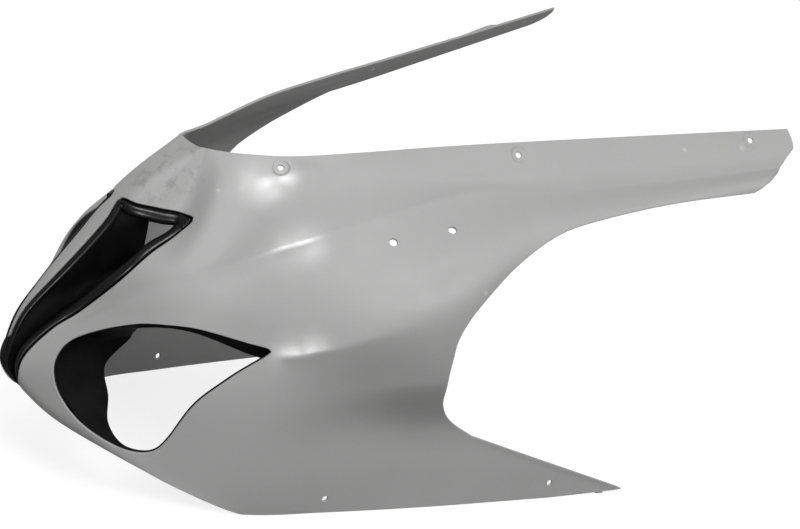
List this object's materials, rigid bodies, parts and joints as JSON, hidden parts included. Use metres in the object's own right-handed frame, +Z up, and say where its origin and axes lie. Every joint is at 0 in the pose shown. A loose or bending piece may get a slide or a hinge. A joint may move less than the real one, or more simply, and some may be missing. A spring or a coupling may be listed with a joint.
{
  "type": "motorcycle fairing",
  "caption": "Front cowl for a sport motorcycle, with intake mouths, headlight openings and swept rear arms.",
  "frame": {"origin": "middle of the box round the cowl, level with the lower edges that it rests on", "axes": "+X ahead to the nose, +Y to the rider's left, +Z up"},
  "size_m": [0.7965, 0.5226, 0.4328],
  "materials": {
    "grey_plastic": "fine grained, unpainted",
    "gloss_black_plastic": "smooth and glossy",
    "dark_plastic": "satin"
  },
  "bodies": {
    "root": {"cowl_shell": "grey_plastic", "left_intake_duct": "gloss_black_plastic", "right_intake_duct": "gloss_black_plastic", "left_lamp_surround": "dark_plastic", "right_lamp_surround": "dark_plastic"}
  },
  "joints": []
}
